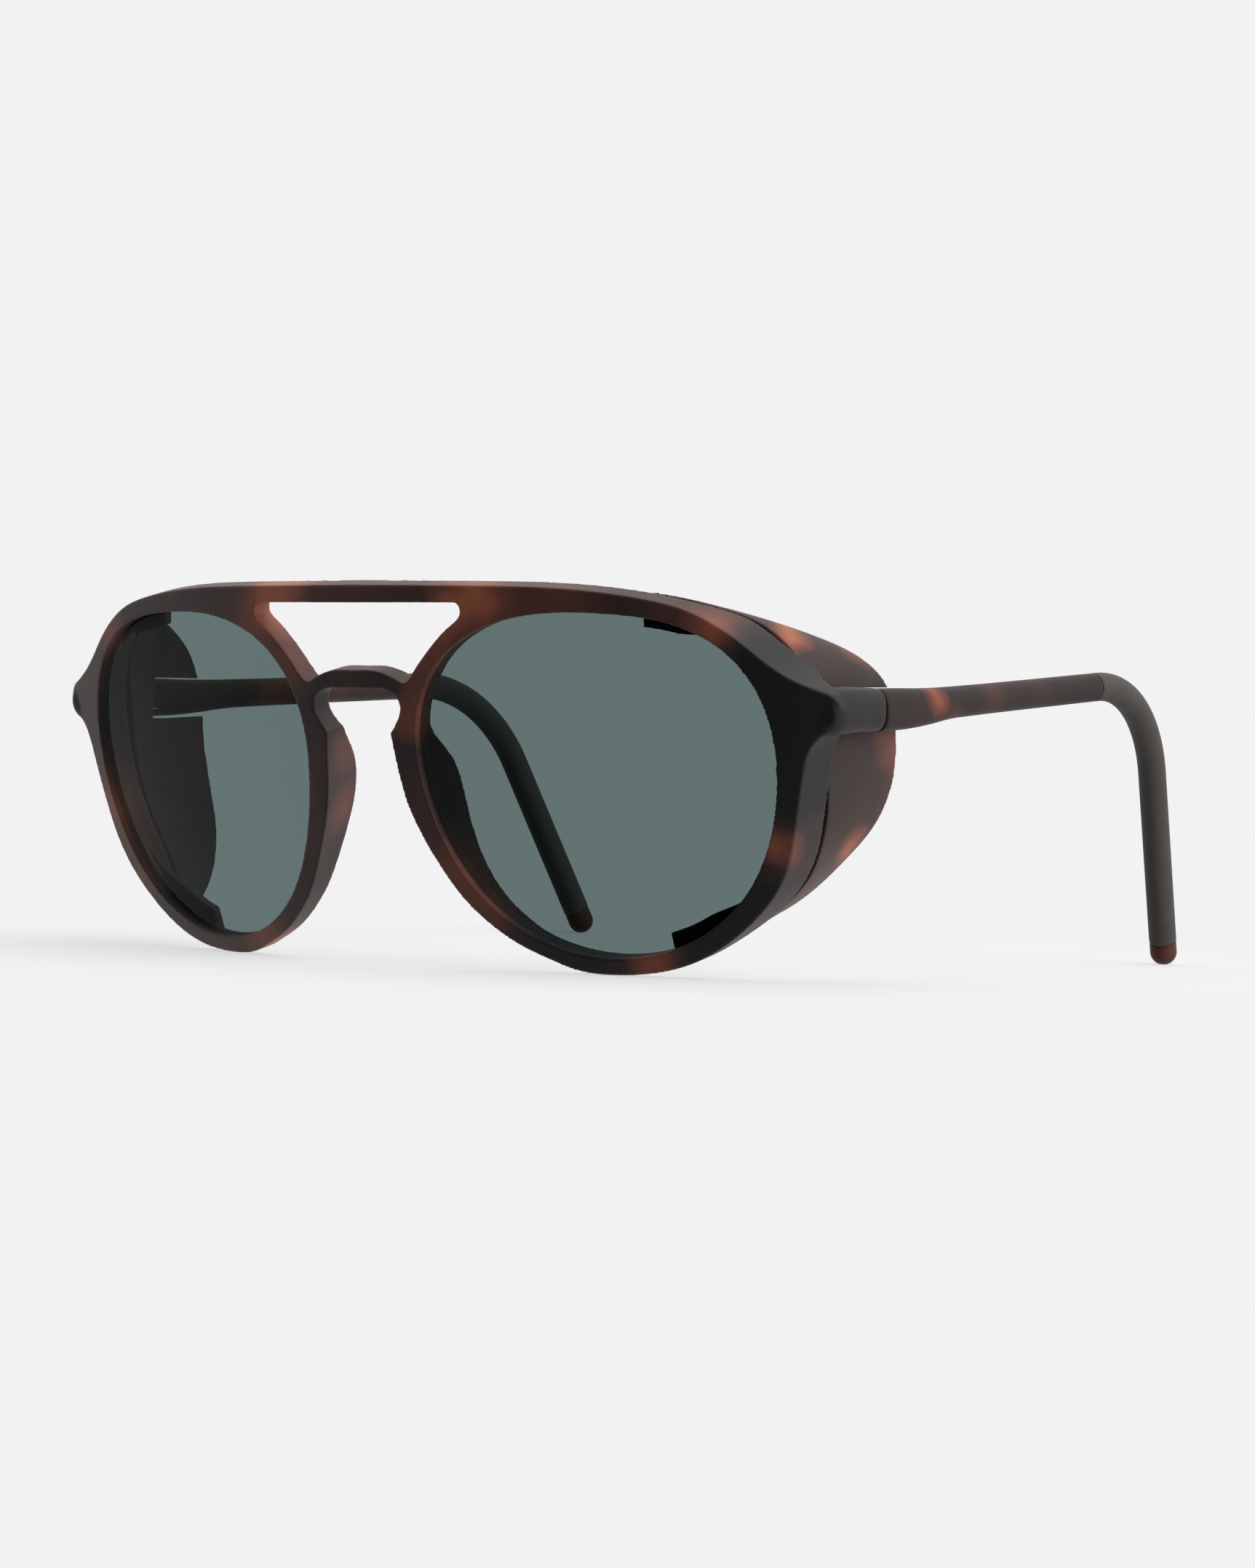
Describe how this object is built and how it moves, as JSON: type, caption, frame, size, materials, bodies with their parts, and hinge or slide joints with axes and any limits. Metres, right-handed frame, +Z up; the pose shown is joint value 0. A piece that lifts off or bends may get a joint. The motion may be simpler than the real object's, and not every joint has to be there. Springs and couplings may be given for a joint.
{
  "type": "glacier glasses",
  "caption": "Glacier glasses with a slotted double bridge, curved tinted lenses, cup-shaped side shields, and folding temples with rubber-covered hooked ends.",
  "frame": {"origin": "middle of the base of the bounding box, where the rims and the temple tips stand", "axes": "+X to the wearer's left, -Y the way the front faces, +Z up"},
  "size_m": [0.1372, 0.1217, 0.052],
  "materials": {
    "front_frame": "satin brown and black tortoise plastic",
    "lens": "smooth grey-green tinted lens",
    "side_shield": "satin translucent brown tortoise plastic",
    "temple_arm": "satin brown and black tortoise plastic",
    "temple_sleeve": "fine matt dark rubber",
    "temple_end_cap": "satin brown plastic",
    "hinge_metal": "plain turned steel"
  },
  "bodies": {
    "front": {"front_frame": "front_frame", "lens_left": "lens", "lens_right": "lens", "side_shield_left": "side_shield", "side_shield_right": "side_shield", "hinge_front_leaf_left": "hinge_metal", "hinge_front_leaf_right": "hinge_metal", "hinge_screw_left": "hinge_metal", "hinge_screw_right": "hinge_metal"},
    "temple_left": {"temple_arm_left": "temple_arm", "hinge_temple_leaf_left": "hinge_metal", "temple_wire_left": "hinge_metal", "temple_sleeve_left": "temple_sleeve", "temple_end_cap_left": "temple_end_cap"},
    "temple_right": {"temple_arm_right": "temple_arm", "hinge_temple_leaf_right": "hinge_metal", "temple_wire_right": "hinge_metal", "temple_sleeve_right": "temple_sleeve", "temple_end_cap_right": "temple_end_cap"}
  },
  "joints": [
    {"name": "temple_left_fold", "type": "hinge", "parent": "front", "child": "temple_left", "pos_m": [0.0638, -0.0328, 0.03565], "axis": [0, 0, 1], "range_deg": [0, 85]},
    {"name": "temple_right_fold", "type": "hinge", "parent": "front", "child": "temple_right", "pos_m": [-0.0638, -0.0328, 0.03565], "axis": [0, 0, -1], "range_deg": [0, 75]}
  ]
}
